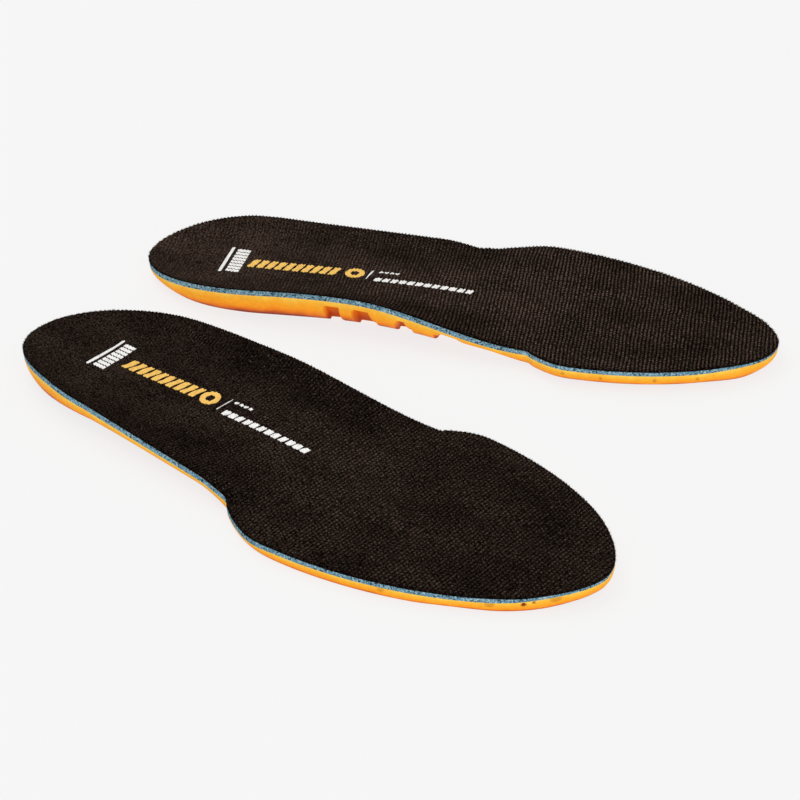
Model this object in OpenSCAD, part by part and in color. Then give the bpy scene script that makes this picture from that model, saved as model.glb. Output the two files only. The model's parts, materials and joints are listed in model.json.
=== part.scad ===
// A pair of cushioned insoles. Each one is a stack of three bonded layers: a knitted cover,
// a soft foam and a moulded base with a heel cup, arch struts and cone cushions.
// Each insole is designed lying along +X, heel at 0 and toe at insole_len, with its
// medial (inner) side at +Y. The left insole is the mirror image of the right one.

/* [Outline] */
// Heel to toe length of one insole
insole_len = 285; // [270:1:300]
// Half width of the heel
heel_half = 35.5; // [33:0.5:38]
// Length of the heel's elliptical end
heel_round = 62; // [54:1:68]
// Half width of the waist on the lateral side, just behind the lateral notch
waist_lateral = 41; // [38:0.5:43]
// Half width of the instep on the medial side, just behind the medial notch
instep_medial = 42.5; // [39:0.5:45]
// How far the medial side of the ball stands out from the centre line
ball_medial = 49.8; // [47:0.2:52]
// How far the lateral side of the ball stands out from the centre line
ball_lateral = 53.2; // [50:0.2:55]

/* [Heights] */
// Height of the cup's rim at the back of the heel
rim_back = 9.5; // [9:0.5:13]
// Height of the cup's rim on the lateral side
rim_lateral = 15.2; // [13:0.2:17]
// Highest point of the rim, at the medial arch
rim_arch = 20; // [17:0.5:22]
// Height of the forefoot's medial edge
fore_medial = 10.5; // [9:0.1:12]
// Height of the forefoot's lateral edge
fore_lateral = 7.3; // [7:0.1:9]
// Height of the walking surface in the middle of the heel
heel_floor = 7.6; // [7:0.1:9]
// Height of the walking surface in the middle of the arch
arch_floor = 10.4; // [9:0.1:11]
// Height of the walking surface in the middle of the forefoot
fore_floor = 8.7; // [8:0.1:9.5]

/* [Layers] */
// Thickness of the knitted cover
cover_t = 1.1; // [0.8:0.1:1.4]
// Thickness of the foam at its edge, heel and arch
foam_edge_t = 2.4; // [2:0.1:2.8]
// Thickness of the foam at its edge, forefoot
foam_fore_t = 1.8; // [1.4:0.1:2.4]
// Thickness of the foam at its edge, tip of the toe
foam_tip_t = 1.1; // [0.9:0.1:1.6]
// Thickness of the foam in the middle
foam_mid_t = 2.9; // [2.4:0.1:3]
// Thickness of the printed marks
print_t = 0.2; // [0.1:0.05:0.4]

/* [Base] */
// How far the arch's medial edge stands clear of the ground
arch_rise = 1.4; // [1:0.2:2]
// Width of the rearmost arch strut
strut_w = 7; // [5:0.5:8]
// Depth of the pockets that hold the cones
pocket_depth = 2.2; // [1.6:0.2:2.6]
// Radius of a cone where it joins the base
cone_root_r = 3.2; // [2.6:0.2:3.6]
// Radius of a cone at its foot
cone_foot_r = 2; // [1.4:0.2:2.4]

/* [Flex line] */
// Distance from the heel to the middle of the flex line, under the ball of the foot
flex_x = 191; // [186:1:196]
// How far the flex line runs forward on the medial side, and back on the lateral side
flex_skew = 13; // [8:1:16]
// Gap between the two halves at the flex line
flex_gap = 0.3; // [0.2:0.1:0.6]

/* [Placing] */
// How far the right insole is turned, toe towards the front
right_turn = -38.5; // [-45:0.5:-30]
// How far the left insole is turned, toe towards the front
left_turn = -14.5; // [-20:0.5:-8]
// How far the left insole's middle lies to the right of the right insole's
left_across = 66.5; // [60:0.5:75]
// How far the left insole's middle lies behind the right insole's
left_behind = 118; // [112:1:140]

/* [Hidden] */
PARTS = [
    "cover_heel", "cover_forefoot", "foam_heel", "foam_forefoot", "base_heel", "base_forefoot",
    "heel_mark", "name_mark", "round_mark", "divider_mark", "arch_mark"
];

function side_nodes(side) = [for (part = PARTS) str(side, "_", part)];

COVER_COLOUR = [0.13, 0.11, 0.10];
FOAM_COLOUR = [0.42, 0.58, 0.66];
BASE_COLOUR = [0.98, 0.62, 0.15];
WHITE_PRINT = [0.92, 0.92, 0.90];
YELLOW_PRINT = [0.96, 0.70, 0.25];

// The outline: how far the heel stands out further on the lateral side, the sideways places of
// the tips of the heel and the toe, and where each notch starts and how long it is
heel_lean = 0.5;
heel_y = -1.4;
toe_y = 7.8;
medial_notch = 182;
medial_notch_len = 20;
lateral_notch = 142;
lateral_notch_len = 32;
// Shape of the heel's and the toe's quarters: 2 is an ellipse, less is more pointed
heel_power = 2;
medial_toe_power = 1.9;
lateral_toe_power = 1.7;

// Where the rim is highest, the lateral rim's fall for each millimetre and dip in the notch, and
// the height of the toe's rim
arch_x = 105;
lateral_peak_x = 40;
lateral_fall = 0.04;
toe_rim = 9;
notch_dip = 1.4;
// How far the walking surface leans up towards the medial side, at its edge
arch_lean = 2.4;
fore_lean = 1.2;
// How far in from the tips the rim's curl reaches
heel_reach = 30;
toe_reach = 22;

// How far the base's flat underside lies inside its top edge, and its tuck at the tips
heel_inset = 4;
arch_inset = 13.4;
waist_inset = 13;
fore_inset_medial = 6;
fore_inset_lateral = 1.2;
toe_inset = 1.6;
heel_tuck = 9;
toe_tuck = 4.5;

// The arch: where its hollow starts and ends, and its second, higher rise before the ball
arch_start = 92;
arch_end = 184;
recess_end = 156;
instep_rise = 1.6;
// The struts: where they start at the top and at the foot, and how fast they get wider
strut_count = 3;
strut_first = 98.5;
strut_pitch = 11.85;
strut_spread = 1.45;
strut_foot_pitch = 16.5;
strut_flare = 1.05;
strut_foot_flare = 0.2;

// The wall of the base, top to bottom: share of the inset, share of the height, and how much
// of the inset the arch's hollow adds
WALL = [[0.06, 0.27, 0], [0.09, 0.32, 0.34], [0.32, 0.60, 0.28], [0.74, 0.90, 0.10]];

// Pockets under the heel and the ball: middle, half length, half width
HEEL_POCKET = [44, -1, 28, 20];
BALL_POCKET = [226, -1, 34, 31];
cone_pitch = 10.5;

// Rows of the grid, as distances from the heel: closer together towards the tips, with a pair
// at the sharp start of the arch. Columns run from the lateral edge to the medial edge
TIP_ROWS = 6;
tip_len = 20;
tip_cut = 0.4;
row_pitch = 9;
arch_edge = 0.5;
COLS = 12;
function tip_rows() = [for (k = [0:TIP_ROWS]) tip_cut + (tip_len - tip_cut) * pow(k / TIP_ROWS, 2)];
function between(a, b) = let (n = ceil((b - a) / row_pitch)) [for (k = [1:1:n - 1]) lerp(a, b, k / n)];
REAR_ROWS = concat(
    tip_rows(), between(tip_len, arch_start - arch_edge),
    [arch_start - arch_edge, arch_start + arch_edge], between(arch_start + arch_edge, flex_x)
);
FORE_ROWS = concat(
    between(flex_x, insole_len - tip_len),
    [for (k = [TIP_ROWS:-1:0]) insole_len - tip_rows()[k]]
);
FLEX_ROW = len(REAR_ROWS);
ROWS = concat(REAR_ROWS, [flex_x], FORE_ROWS);

function clamp01(v) = max(0, min(1, v));
function ease(v) = let (t = clamp01(v)) t * t * (3 - 2 * t);
function lerp(a, b, t) = a + (b - a) * t;
// From 0 to 1 along a length: step starts and ends level, rise only ends level
function step(x, start, length) = ease((x - start) / length);
function rise(x, start, length) = sin(90 * clamp01((x - start) / length));
// Quarter of a superellipse: 1 at u = 0, 0 at u = 1
function quarter(u, power) = pow(max(0, 1 - pow(clamp01(u), power)), 1 / power);
// A notch in the outline: a short fillet, then a quarter round
function notch(x, start, length) = rise(x, start, length) * step(x, start, length / 5);

// The outline: an elliptical heel, a waist, a notch and a quarter round to the tip of the toe
function medial_waist(x) =
    lerp(heel_half - heel_lean, instep_medial, step(x, 90, 110))
    + (ball_medial - instep_medial) * notch(x, medial_notch, medial_notch_len);
function lateral_waist(x) =
    lerp(heel_half + heel_lean, waist_lateral, clamp01((x - heel_round) / (lateral_notch - heel_round)))
    + (ball_lateral - waist_lateral) * notch(x, lateral_notch, lateral_notch_len);
function side(x, waist, way, ball_x, ball, power) =
    x < heel_round ? heel_y + (way * waist - heel_y) * quarter(1 - x / heel_round, heel_power)
    : x < ball_x ? way * waist
    : toe_y + (way * ball - toe_y) * quarter((x - ball_x) / (insole_len - ball_x), power);
function medial_y(x) =
    side(x, medial_waist(x), 1, medial_notch + medial_notch_len, ball_medial, medial_toe_power);
function lateral_y(x) =
    side(x, lateral_waist(x), -1, lateral_notch + lateral_notch_len, ball_lateral, lateral_toe_power);

// Plan position of a grid point: rows near the flex line lie along it
function skew(row) = flex_skew * ease(1 - abs(row - flex_x) / 95);
function plan(row, t) =
    let (k = skew(row))
    [row + k * t, lerp(lateral_y(row - k), medial_y(row + k), (t + 1) / 2)];

// Place across the insole, -1 at the lateral edge and 1 at the medial one, and closeness to the
// outline, 0 in the middle and 1 at the edge
function across(p) =
    let (m = medial_y(p[0]), l = lateral_y(p[0])) max(-1, min(1, (2 * p[1] - m - l) / (m - l)));
function closeness(p) =
    let (end = max(1 - p[0] / heel_reach, 1 - (insole_len - p[0]) / toe_reach, 0))
    min(1, pow(pow(abs(across(p)), 3) + pow(end, 3), 1 / 3));

// Heights of the rim on each side. The lateral rim dips in the notch
function toe_end(x, height) = lerp(height, toe_rim, step(x, insole_len - 22, 22));
function rim_medial_z(x) =
    toe_end(x, lerp(lerp(rim_back, rim_arch, rise(x, 0, arch_x)), fore_medial, step(x, arch_x, 75)));
function rim_lateral_z(x) =
    let (cup = lerp(rim_back, rim_lateral, rise(x, 0, lateral_peak_x)))
    let (fall = lerp(cup - lateral_fall * max(0, x - lateral_peak_x), fore_lateral, step(x, 128, 27)))
    toe_end(x, fall) - notch_dip * step(x, lateral_notch, 12) * (1 - step(x, lateral_notch + 18, 20));

// Height of the walking surface, and of the layers' faces under it
function floor_z(x) = lerp(lerp(heel_floor, arch_floor, step(x, 35, 95)), fore_floor, step(x, 130, 55));
function lean(x) =
    lerp(lerp(0, arch_lean, step(x, 40, 70)), fore_lean, step(x, 110, 65))
    * clamp01((insole_len - x) / toe_reach);
function top_z(p) =
    let (x = p[0], t = across(p))
    let (rim = lerp(rim_lateral_z(x), rim_medial_z(x), ease((t + 1) / 2)))
    lerp(floor_z(x) + lean(x) * t, rim, pow(closeness(p), 4));
function foam_top_z(p) = top_z(p) - cover_t;
function base_top_z(p) =
    let (fore = lerp(foam_fore_t, foam_tip_t, step(p[0], insole_len - 27, 20)))
    let (edge = lerp(foam_edge_t, fore, step(p[0], 150, 50)))
    foam_top_z(p) - lerp(foam_mid_t, edge, pow(closeness(p), 2));

// The underside: pulled in from the edge, tucked in at the tips, hollow at the arch and pockets
function toe_in(x, inset) = lerp(inset, toe_inset, step(x, insole_len - 30, 30));
function inset_medial(x) =
    toe_in(x, lerp(lerp(heel_inset, arch_inset, step(x, 0, 118)), fore_inset_medial, step(x, 130, 56)));
function inset_lateral(x) =
    toe_in(x, lerp(lerp(heel_inset, waist_inset, step(x, 20, 75)), fore_inset_lateral, step(x, 126, 20)));
function under_t(row, t) =
    let (k = skew(row), wide = (medial_y(row + k) - lateral_y(row - k)) / 2)
    let (thin = min(1, wide / 12))
    let (in_lateral = thin * inset_lateral(row - k) / wide, in_medial = thin * inset_medial(row + k) / wide)
    lerp(in_lateral - 1, 1 - in_medial, (t + 1) / 2);
function tuck(row) =
    heel_tuck * pow(max(0, 1 - row / 40), 2) - toe_tuck * pow(max(0, 1 - (insole_len - row) / 25), 2);
function under_plan(row, t) = plan(row, under_t(row, t)) + [tuck(row), 0];
function pocket(spot, p) =
    let (d = norm([(p[0] - spot[0]) / spot[2], (p[1] - spot[1]) / spot[3]]))
    pocket_depth * ease((1.25 - d) / 0.25);
function arch(x) =
    (arch_rise + instep_rise * step(x, 118, 30))
    * min(step(x, arch_start - arch_edge, 2 * arch_edge), ease((arch_end - x) / 22));
function under_z(row, t) =
    let (p = under_plan(row, t))
    max(pocket(HEEL_POCKET, p), pocket(BALL_POCKET, p), arch(p[0]) * ease((t - 0.3) / 0.6));

// A closed solid between two grids, with rings of points down its wall
function col_t(j) = sin(90 * (2 * j / COLS - 1));
function rim_loop(r0, r1) =
    concat(
        [for (j = [0:COLS]) [r0, j]], [for (i = [r0 + 1:r1]) [i, COLS]],
        [for (j = [COLS - 1:-1:0]) [r1, j]], [for (i = [r1 - 1:-1:r0 + 1]) [i, 0]]
    );
function grid_id(r0, i, j) = (i - r0) * (COLS + 1) + j;
function sheet_faces(r0, r1, start, up) =
    [for (i = [r0:r1 - 1]) for (j = [0:COLS - 1])
        let (a = start + grid_id(r0, i, j), b = a + 1, c = a + COLS + 1, d = c + 1)
        each (up ? [[a, b, d], [a, d, c]] : [[a, d, b], [a, c, d]])];
function wall_faces(upper, lower) =
    [for (k = [0:len(upper) - 1])
        let (n = (k + 1) % len(upper))
        each [[upper[k], upper[n], lower[n]], [upper[k], lower[n], lower[k]]]];

module layered(r0, r1, top, bottom, rings = []) {
    cells = (r1 - r0 + 1) * (COLS + 1);
    loop = rim_loop(r0, r1);
    upper = [for (p = loop) grid_id(r0, p[0], p[1])];
    lower = [for (id = upper) id + cells];
    levels = concat(
        [upper],
        [for (k = [0:1:len(rings) - 1]) [for (p = [0:len(loop) - 1]) 2 * cells + k * len(loop) + p]],
        [lower]
    );
    points = concat(top, bottom, [for (ring = rings) each ring]);
    faces = concat(
        sheet_faces(r0, r1, 0, true), sheet_faces(r0, r1, cells, false),
        [for (k = [0:len(levels) - 2]) each wall_faces(levels[k + 1], levels[k])]
    );
    polyhedron(points, faces, convexity = 6);
}

// The row of the flex line is moved half a gap towards the half that is being made
function row_x(i, way) = ROWS[i] - (i == FLEX_ROW ? way * flex_gap / 2 : 0);
function cells_of(r0, r1, way, fn) =
    [for (i = [r0:r1]) for (j = [0:COLS]) fn(row_x(i, way), col_t(j))];
first_row = function(half) half == "heel" ? 0 : FLEX_ROW;
last_row = function(half) half == "heel" ? FLEX_ROW : len(ROWS) - 1;
way_of = function(half) half == "heel" ? 1 : -1;

module bonded_layer(half, over, under) {
    r0 = first_row(half);
    r1 = last_row(half);
    way = way_of(half);
    above = function(row, t) let (p = plan(row, t)) [each p, over(p)];
    below = function(row, t) let (p = plan(row, t)) [each p, under(p)];
    layered(r0, r1, cells_of(r0, r1, way, above), cells_of(r0, r1, way, below));
}

// A point on the base's wall: share of the way in and down, and the arch's hollow
function recess(x) =
    min(step(x, arch_start - arch_edge, 2 * arch_edge), ease((recess_end - x) / 12));
function wall_point(row, t, level) =
    let (p = plan(row, t), q = under_plan(row, t))
    let (hollow = t > 0.99 ? level[2] * recess(p[0]) : 0)
    let (in = level[0] + hollow)
    [lerp(p[0], q[0], in), lerp(p[1], q[1], in),
        lerp(base_top_z(p), under_z(row, t), level[1])];

module base_half(half) {
    r0 = first_row(half);
    r1 = last_row(half);
    way = way_of(half);
    above = function(row, t) let (p = plan(row, t)) [each p, base_top_z(p)];
    below = function(row, t) [each under_plan(row, t), under_z(row, t)];
    loop = rim_loop(r0, r1);
    rings = [for (level = WALL) [for (p = loop) wall_point(row_x(p[0], way), col_t(p[1]), level)]];
    layered(r0, r1, cells_of(r0, r1, way, above), cells_of(r0, r1, way, below), rings);
}

module cover(half) {
    color(COVER_COLOUR)
    bonded_layer(half, function(p) top_z(p), function(p) foam_top_z(p));
}

module foam(half) {
    color(FOAM_COLOUR)
    bonded_layer(half, function(p) foam_top_z(p), function(p) base_top_z(p));
}

// The base is one moulding: the wall and underside, with the struts or cones that stand on it
module base(half) {
    color(BASE_COLOUR)
    union() {
        base_half(half);
        if (half == "heel") {
            for (k = [0:strut_count - 1]) strut(k);
            cones(HEEL_POCKET);
        } else {
            cones(BALL_POCKET);
        }
    }
}

// One strut: a slanted bar that carries the wall's line down to the ground across the hollow.
// Its section runs down the outer face, then back up inside the base: share of the inset, and
// height as a share of the base's, from its foot up
STRUT_OUT = [[0.05, 0.74], [0.20, 0.58], [0.50, 0.30], [0.84, 0.06], [0.98, 0]];
STRUT_IN = [[1.6, 0], [1.6, 0.14], [1.04, 0.16], [0.72, 0.36], [0.44, 0.64]];
strut_top = STRUT_OUT[0][1];
function strut_section(k, end) =
    let (start = strut_first + k * strut_pitch + k * k * strut_spread)
    let (x_top = start + end * strut_w * (1 + strut_flare * sqrt(k)))
    let (x_foot = strut_first + k * strut_foot_pitch + end * strut_w * (1 + strut_foot_flare * k))
    [for (v = concat(STRUT_OUT, STRUT_IN))
        let (x = lerp(x_foot, x_top, v[1] / strut_top), foot_z = 0.3 * k * k)
        let (top_z = base_top_z([x, medial_y(x)]))
        [x, lerp(medial_y(x), under_plan(x, 1)[1], v[0]), lerp(foot_z, top_z, v[1])]];

module strut(k) {
    n = len(STRUT_OUT) + len(STRUT_IN);
    half = n / 2 - 1;
    points = concat(strut_section(k, 0), strut_section(k, 1));
    rear = [for (i = [0:half - 1]) each [[i, n - 1 - i, i + 1], [i + 1, n - 1 - i, n - 2 - i]]];
    front = [for (face = rear) [face[0] + n, face[2] + n, face[1] + n]];
    around = [for (i = [0:n - 1]) each [[i, (i + 1) % n + n, i + n], [i, (i + 1) % n, (i + 1) % n + n]]];
    polyhedron(points, concat(rear, front, around), convexity = 4);
}

// Cones on a triangular grid, inside the pocket. They sink a little into its ceiling
cone_margin = 3;
cone_sink = 0.5;
row_step = sqrt(3) / 2;
module cones(spot) {
    rows = ceil(spot[3] / (cone_pitch * row_step));
    cols = ceil(spot[2] / cone_pitch);
    for (r = [-rows:rows], c = [-cols:cols]) {
        at = [spot[0] + (c + (r % 2 == 0 ? 0 : 0.5)) * cone_pitch, spot[1] + r * cone_pitch * row_step];
        reach = [spot[2] - cone_margin, spot[3] - cone_margin];
        out = norm([(at[0] - spot[0]) / reach[0], (at[1] - spot[1]) / reach[1]]);
        if (out < 1)
            translate([at[0], at[1], 0])
            cylinder(h = pocket_depth + cone_sink, r1 = cone_foot_r, r2 = cone_root_r, $fn = 24);
    }
}

// A printed mark: a thin patch that follows the cover just above it, given by its corner and size
print_gap = 0.15;
module patch(corner, size, slant = 0, nx = 3, ny = 2) {
    cells = (nx + 1) * (ny + 1);
    at = function(i, j, lift)
        let (x = corner[0] + size[0] * i / nx + slant * j / ny, y = corner[1] + size[1] * j / ny)
        [x, y, top_z([x, y]) + print_gap + lift];
    points = [for (lift = [print_t, 0]) for (i = [0:nx]) for (j = [0:ny]) at(i, j, lift)];
    id = function(i, j) i * (ny + 1) + j;
    loop = concat(
        [for (j = [0:ny]) id(0, j)], [for (i = [1:nx]) id(i, ny)],
        [for (j = [ny - 1:-1:0]) id(nx, j)], [for (i = [nx - 1:-1:1]) id(i, 0)]
    );
    cell = function(a, b, c, d)
        [[a, b, d], [a, d, c], [a + cells, d + cells, b + cells], [a + cells, c + cells, d + cells]];
    faces = concat(
        [for (i = [0:nx - 1]) for (j = [0:ny - 1])
            each cell(id(i, j), id(i, j + 1), id(i + 1, j), id(i + 1, j + 1))],
        wall_faces([for (k = loop) k + cells], loop)
    );
    polyhedron(points, faces, convexity = 4);
}

// A row of equal bars along the foot
module bars(corner, size, count, pitch, slant = 0) {
    for (k = [0:count - 1]) patch(corner + [k * pitch, 0], size, slant);
}

// The marks read the same way on both insoles: way is 1 on the right one, where their tops
// point to the medial side, and -1 on the left one. They all lie about one line
mark_line = 2.5;

module heel_mark(way) {
    low = way * 3 - 10;
    block_pitch = 2.55;
    color(WHITE_PRINT) {
        patch([34.5, low - 1], [1.4, 22]);
        for (k = [0:7]) patch([37.6, low + k * block_pitch], [6.2, 1.9]);
    }
}

module name_mark(way) {
    bar = [3, 6.8];
    color(YELLOW_PRINT) bars([48, way * mark_line - bar[1] / 2], bar, 10, 4.2, way * 2);
}

module round_mark(way) {
    outer_r = 4.4;
    inner_r = 2;
    at = [95.8, way * mark_line];
    color(YELLOW_PRINT)
    difference() {
        intersection() {
            patch(at - [5.5, 5.5], [11, 11], nx = 4, ny = 4);
            translate([at[0], at[1], 0]) cylinder(h = 30, r = outer_r, $fn = 48);
        }
        translate([at[0], at[1], 0]) cylinder(h = 30, r = inner_r, $fn = 48);
    }
}

module divider_mark(way) {
    color(WHITE_PRINT) patch([103, way * mark_line - 4.3], [0.6, 8.6], way * 1.2);
}

module arch_mark(way) {
    small_bar = [1.8, 1.4];
    large_bar = [2.9, 3.2];
    color(WHITE_PRINT) {
        bars([106.5, way * (mark_line + 3.2) - small_bar[1] / 2], small_bar, 4, 2.5, way * 0.4);
        bars([106.5, way * (mark_line - 4.2) - large_bar[1] / 2], large_bar, 12, 3.8, way * 0.9);
    }
}

// The pair's own box, so that the origin is under its middle
left_from_right = [left_across, left_behind];
function turned(p, a) = [p[0] * cos(a) - p[1] * sin(a), p[0] * sin(a) + p[1] * cos(a)];
function outline_of(a, flip) =
    [for (row = ROWS) for (t = [-1, 1])
        let (p = plan(row, t)) turned([p[0] - insole_len / 2, p[1] * flip], a)];
PAIR = concat(outline_of(right_turn, 1), [for (p = outline_of(left_turn, -1)) p + left_from_right]);
pair_middle = [for (k = [0, 1]) (min([for (p = PAIR) p[k]]) + max([for (p = PAIR) p[k]])) / 2];

// Puts a right insole, or its mirror image, in its place in the pair
module placed(side) {
    at = (side == "right" ? [0, 0] : left_from_right) - pair_middle;
    translate([at[0], at[1], 0])
    rotate([0, 0, side == "right" ? right_turn : left_turn])
    mirror([0, side == "right" ? 0 : 1, 0])
    translate([-insole_len / 2, 0, 0])
    children();
}

module sub_part(side, part) {
    way = side == "right" ? 1 : -1;
    placed(side) {
        if (part == "cover_heel") cover("heel");
        if (part == "cover_forefoot") cover("forefoot");
        if (part == "foam_heel") foam("heel");
        if (part == "foam_forefoot") foam("forefoot");
        if (part == "base_heel") base("heel");
        if (part == "base_forefoot") base("forefoot");
        if (part == "heel_mark") heel_mark(way);
        if (part == "name_mark") name_mark(way);
        if (part == "round_mark") round_mark(way);
        if (part == "divider_mark") divider_mark(way);
        if (part == "arch_mark") arch_mark(way);
    }
}

for (side = ["right", "left"])
    for (part = PARTS)
        sub_part(side, part);
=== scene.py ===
import json
import math

import bpy
import numpy as np
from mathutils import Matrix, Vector


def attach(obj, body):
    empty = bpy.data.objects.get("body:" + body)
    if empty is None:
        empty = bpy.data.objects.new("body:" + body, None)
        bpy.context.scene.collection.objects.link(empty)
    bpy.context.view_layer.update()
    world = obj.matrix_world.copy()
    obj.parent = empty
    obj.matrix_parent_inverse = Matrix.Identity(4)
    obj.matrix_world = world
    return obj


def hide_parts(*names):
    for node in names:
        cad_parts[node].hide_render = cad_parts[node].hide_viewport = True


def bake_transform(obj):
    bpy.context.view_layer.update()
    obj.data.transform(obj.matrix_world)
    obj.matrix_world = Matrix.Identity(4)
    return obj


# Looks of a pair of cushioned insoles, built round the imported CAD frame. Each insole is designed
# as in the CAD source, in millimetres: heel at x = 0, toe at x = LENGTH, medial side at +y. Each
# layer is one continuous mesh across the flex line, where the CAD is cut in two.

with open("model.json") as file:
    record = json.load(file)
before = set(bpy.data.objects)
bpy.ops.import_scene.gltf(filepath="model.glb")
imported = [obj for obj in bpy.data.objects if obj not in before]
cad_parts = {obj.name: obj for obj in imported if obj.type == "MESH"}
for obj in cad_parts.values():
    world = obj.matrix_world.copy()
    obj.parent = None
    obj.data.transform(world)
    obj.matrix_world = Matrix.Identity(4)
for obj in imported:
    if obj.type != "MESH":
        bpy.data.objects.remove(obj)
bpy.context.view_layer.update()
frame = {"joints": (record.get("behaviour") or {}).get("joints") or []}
MM = 0.001
rng = np.random.default_rng(7)

# ---------------------------------------------------------------------------------------------
# The CAD source's own design values. Lengths are in millimetres.
LENGTH = 285
HEEL_HALF, HEEL_ROUND, HEEL_LEAN, HEEL_Y = 35.5, 62, 0.5, -1.4
WAIST_LATERAL, INSTEP_MEDIAL = 41, 42.5
BALL_MEDIAL, BALL_LATERAL, TOE_Y = 49.8, 53.2, 7.8
MEDIAL_NOTCH, MEDIAL_NOTCH_LEN = 182, 20
LATERAL_NOTCH, LATERAL_NOTCH_LEN = 142, 32
MEDIAL_TOE_POWER, LATERAL_TOE_POWER = 1.9, 1.7
RIM_BACK, RIM_LATERAL, RIM_ARCH = 9.5, 15.2, 20
FORE_MEDIAL, FORE_LATERAL, TOE_RIM, NOTCH_DIP = 10.5, 7.3, 9, 1.4
HEEL_FLOOR, ARCH_FLOOR, FORE_FLOOR = 7.6, 10.4, 8.7
ARCH_X, LATERAL_PEAK_X, LATERAL_FALL = 105, 40, 0.04
ARCH_TILT, FORE_TILT = 2.4, 1.2
HEEL_REACH, TOE_REACH = 30, 22
COVER_T, FOAM_EDGE_T, FOAM_FORE_T, FOAM_TIP_T, FOAM_MID_T = 1.1, 2.4, 1.8, 1.1, 2.9
HEEL_INSET, ARCH_INSET, WAIST_INSET = 4, 13.4, 13
FORE_INSET_MEDIAL, FORE_INSET_LATERAL, TOE_INSET = 6, 1.2, 1.6
HEEL_TUCK, TOE_TUCK = 9, 4.5
ARCH_START, ARCH_END, RECESS_END = 92, 184, 156
ARCH_RISE, INSTEP_RISE = 1.4, 1.6
STRUT_COUNT, STRUT_FIRST, STRUT_PITCH, STRUT_SPREAD, STRUT_W = 3, 98.5, 11.85, 1.45, 7
STRUT_FOOT_PITCH, STRUT_FLARE, STRUT_FOOT_FLARE = 16.5, 1.05, 0.2
HEEL_POCKET, BALL_POCKET, POCKET_DEPTH = (44, -1, 28, 20), (226, -1, 34, 31), 2.2
CONE_PITCH, CONE_ROOT_R, CONE_FOOT_R, CONE_MARGIN = 10.5, 3.2, 2, 3
FLEX_X, FLEX_SKEW = 191, 13

# The printed marks, also as in the CAD source: distances from the heel, and sizes of the bars
# along and across the insole
MARK_LINE = 2.5
HEEL_MARK_SHIFT, HEEL_MARK_HALF, HEEL_BAR_X, HEEL_BAR = 3, 10, 34.5, (1.4, 22)
BLOCK_X, BLOCK, BLOCK_PITCH, BLOCK_COUNT = 37.6, (6.2, 1.9), 2.55, 8
NAME_X, NAME_BAR, NAME_PITCH, NAME_COUNT, NAME_SLANT = 48, (3, 6.8), 4.2, 10, 2
RING_X, RING_INNER, RING_OUTER = 95.8, 2, 4.4
DIVIDER_X, DIVIDER, DIVIDER_SLANT = 103, (0.6, 8.6), 1.2
WORDS_X = 106.5
SMALL, SMALL_PITCH, SMALL_COUNT, SMALL_SLANT, SMALL_OFF = (1.8, 1.4), 2.5, 4, 0.4, 3.2
LARGE, LARGE_PITCH, LARGE_COUNT, LARGE_SLANT, LARGE_OFF = (2.9, 3.2), 3.8, 12, 0.9, -4.2

# Values that only the looks have, or have their own way. RIB_SKEW is a slope, and LOOP_WANDER is in
# radians. The arch opens more sharply than in the CAD (ARCH_EDGE), and its struts end higher up:
# STRUT_TOP_UP is the share of the wall's height where they do.
RIB_PITCH, RIB_HEIGHT, RIB_SKEW = 1.62, 0.4, -0.095
LOOP_PITCH, LOOP_WANDER = 1.6, 1.8
EDGE_ROLL, EDGE_DROP = 1.3, 0.55
BEND_REACH = 20
ARCH_EDGE, STRUT_TOP_UP, STRUT_EDGE = 0.3, 0.83, 0.2
# How much light is painted on each insole's knit, one painted darker and the other lighter, and how clearly
# its ribs show
KNIT = {"right": (0.66, 0.68), "left": (1.2, 0.95)}


# ---------------------------------------------------------------------------------------------
# Shape functions for arrays of points. They follow the CAD source's, apart from the arch's opening
# and strut_share, which stands for the struts that the CAD builds as solids of their own.
def clamp01(v):
    return np.clip(v, 0, 1)


def ease(v):
    t = clamp01(v)
    return t * t * (3 - 2 * t)


def lerp(a, b, t):
    return a + (b - a) * t


def step(x, start, length):
    return ease((x - start) / length)


def rise(x, start, length):
    return np.sin(np.pi / 2 * clamp01((x - start) / length))


def quarter(u, power):
    return np.maximum(0, 1 - clamp01(u) ** power) ** (1 / power)


def notch(x, start, length):
    return rise(x, start, length) * step(x, start, length / 5)


def side(x, waist, way, ball_x, ball, power):
    heel = HEEL_Y + (way * waist - HEEL_Y) * quarter(1 - x / HEEL_ROUND, 2)
    toe = TOE_Y + (way * ball - TOE_Y) * quarter((x - ball_x) / (LENGTH - ball_x), power)
    return np.where(x < HEEL_ROUND, heel, np.where(x < ball_x, way * waist, toe))


def medial_y(x):
    waist = lerp(HEEL_HALF - HEEL_LEAN, INSTEP_MEDIAL, step(x, 90, 110))
    waist = waist + (BALL_MEDIAL - INSTEP_MEDIAL) * notch(x, MEDIAL_NOTCH, MEDIAL_NOTCH_LEN)
    return side(x, waist, 1, MEDIAL_NOTCH + MEDIAL_NOTCH_LEN, BALL_MEDIAL, MEDIAL_TOE_POWER)


def lateral_y(x):
    along = clamp01((x - HEEL_ROUND) / (LATERAL_NOTCH - HEEL_ROUND))
    waist = lerp(HEEL_HALF + HEEL_LEAN, WAIST_LATERAL, along)
    waist = waist + (BALL_LATERAL - WAIST_LATERAL) * notch(x, LATERAL_NOTCH, LATERAL_NOTCH_LEN)
    return side(x, waist, -1, LATERAL_NOTCH + LATERAL_NOTCH_LEN, BALL_LATERAL, LATERAL_TOE_POWER)


def across(x, y):
    m, l = medial_y(x), lateral_y(x)
    return np.clip((2 * y - m - l) / np.maximum(m - l, 1e-6), -1, 1)


def closeness(x, t):
    end = np.maximum(np.maximum(1 - x / HEEL_REACH, 1 - (LENGTH - x) / TOE_REACH), 0)
    return np.minimum(1, (np.abs(t) ** 3 + end ** 3) ** (1 / 3))


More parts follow.
